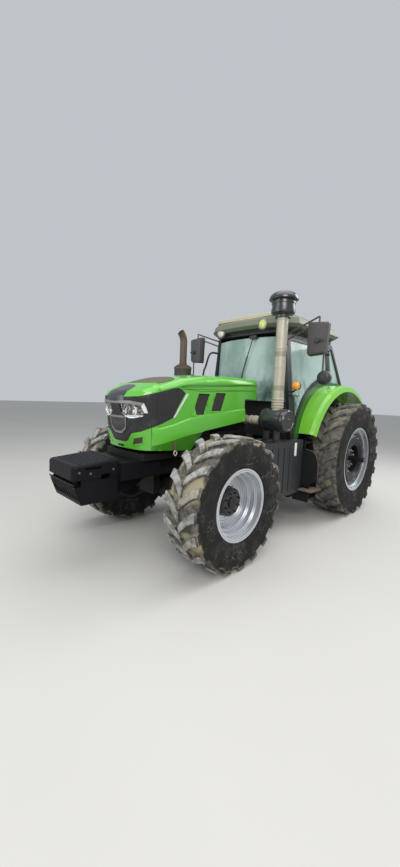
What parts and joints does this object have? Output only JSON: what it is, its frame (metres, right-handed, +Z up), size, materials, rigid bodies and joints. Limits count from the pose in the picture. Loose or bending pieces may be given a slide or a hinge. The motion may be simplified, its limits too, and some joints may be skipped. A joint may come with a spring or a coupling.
{
  "type": "farm tractor",
  "caption": "Four-wheel-drive farm tractor with a cab, a front ballast block, a one-piece bonnet and a rear three-point linkage.",
  "frame": {"origin": "on the ground, under the middle of the tractor's length and width", "axes": "+X forward, +Y to the tractor's left, +Z up"},
  "size_m": [5.36, 2.66, 3.14],
  "materials": {
    "green_paint": "semi-gloss green paint, dusty",
    "black_paint": "satin black",
    "lamp_glass": "clear lamp covers",
    "dark_cast": "satin painted casting",
    "silver_paint": "satin silver paint with mud",
    "white_paint": "semi-gloss",
    "tyre": "matte, muddy",
    "black_plastic": "matte",
    "glass": "tinted glass",
    "steel": "worn steel",
    "engine_paint": "satin paint",
    "seat_cover": "woven"
  },
  "bodies": {
    "chassis": {"front_axle": "dark_cast", "front_frame": "dark_cast", "weight_carrier": "dark_cast", "front_weight": "black_paint", "engine_block": "engine_paint", "radiator_skirt": "black_plastic", "radiator": "black_paint", "gearbox": "dark_cast", "rear_axle_case": "dark_cast", "side_carrier": "black_paint", "bonnet_support": "black_paint", "cab_sides": "black_paint", "cab_glass": "glass", "cab_floor": "black_paint", "cab_cowl": "black_plastic", "cab_rear_frame": "black_paint", "roof": "green_paint", "seat": "seat_cover", "steering_column": "black_plastic", "air_cleaner": "black_paint", "exhaust": "black_paint", "fenders": "green_paint", "side_tanks": "black_plastic", "mirrors": "black_plastic", "steps": "black_paint", "drawbar": "dark_cast"},
    "bonnet": {"bonnet_shell": "green_paint", "bonnet_nose": "green_paint", "headlamps": "lamp_glass", "grille": "black_plastic"},
    "door_left": {"door_left": "black_paint", "door_glass_left": "glass"},
    "door_right": {"door_right": "black_paint", "door_glass_right": "glass"},
    "steer_left": {"knuckle_left": "dark_cast"},
    "steer_right": {"knuckle_right": "dark_cast"},
    "wheel_front_left": {"tyre_front_left": "tyre", "rim_front_left": "silver_paint"},
    "wheel_front_right": {"tyre_front_right": "tyre", "rim_front_right": "silver_paint"},
    "wheel_rear_left": {"tyre_rear_left": "tyre", "rim_rear_left": "silver_paint", "wheel_weight_left": "black_paint"},
    "wheel_rear_right": {"tyre_rear_right": "tyre", "rim_rear_right": "silver_paint", "wheel_weight_right": "black_paint"},
    "lift_arms": {"lift_arms": "dark_cast"},
    "lower_links": {"lower_links": "steel"},
    "lift_rods": {"lift_rods": "steel"}
  },
  "joints": [
    {"name": "bonnet_lid", "type": "hinge", "parent": "chassis", "child": "bonnet", "pos_m": [0.11, 0, 1.98], "axis": [0, -1, 0], "range_deg": [0, 38]},
    {"name": "door_left_hinge", "type": "hinge", "parent": "chassis", "child": "door_left", "pos_m": [-1.49, 0.79891, 1.35661], "axis": [0, -0.1149, 0.9934], "range_deg": [0, 75]},
    {"name": "door_right_hinge", "type": "hinge", "parent": "chassis", "child": "door_right", "pos_m": [-1.49, -0.79891, 1.35661], "axis": [0, -0.1149, -0.9934], "range_deg": [0, 75]},
    {"name": "steering_left", "type": "hinge", "parent": "chassis", "child": "steer_left", "pos_m": [1.31, 0.62, 0.705], "axis": [0, 0, 1], "range_deg": [-35, 35]},
    {"name": "steering_right", "type": "hinge", "parent": "chassis", "child": "steer_right", "pos_m": [1.31, -0.62, 0.705], "axis": [0, 0, 1], "range_deg": [-35, 35]},
    {"name": "front_wheel_left", "type": "hinge", "parent": "steer_left", "child": "wheel_front_left", "pos_m": [1.31, 0.975, 0.705], "axis": [0, 1, 0], "continuous": true},
    {"name": "front_wheel_right", "type": "hinge", "parent": "steer_right", "child": "wheel_front_right", "pos_m": [1.31, -0.975, 0.705], "axis": [0, 1, 0], "continuous": true},
    {"name": "rear_wheel_left", "type": "hinge", "parent": "chassis", "child": "wheel_rear_left", "pos_m": [-1.59, 0.985, 0.895], "axis": [0, 1, 0], "continuous": true},
    {"name": "rear_wheel_right", "type": "hinge", "parent": "chassis", "child": "wheel_rear_right", "pos_m": [-1.59, -0.985, 0.895], "axis": [0, 1, 0], "continuous": true},
    {"name": "lift", "type": "hinge", "parent": "chassis", "child": "lift_arms", "pos_m": [-1.88, 0, 1.08], "axis": [0, 1, 0], "range_deg": [-12, 38]},
    {"name": "lower_link", "type": "hinge", "parent": "chassis", "child": "lower_links", "pos_m": [-1.74, 0, 0.52], "axis": [0, 1, 0], "range_deg": [-9, 27]},
    {"name": "lift_rod", "type": "hinge", "parent": "lift_arms", "child": "lift_rods", "pos_m": [-2.18, 0, 1.08], "axis": [0, 1, 0], "range_deg": [-38, 13]}
  ],
  "couplings": [
    {"joint": "steering_right", "follows": "steering_left", "ratio": 1},
    {"joint": "lower_link", "follows": "lift", "ratio": 0.698},
    {"joint": "lift_rod", "follows": "lift", "ratio": -0.96}
  ]
}
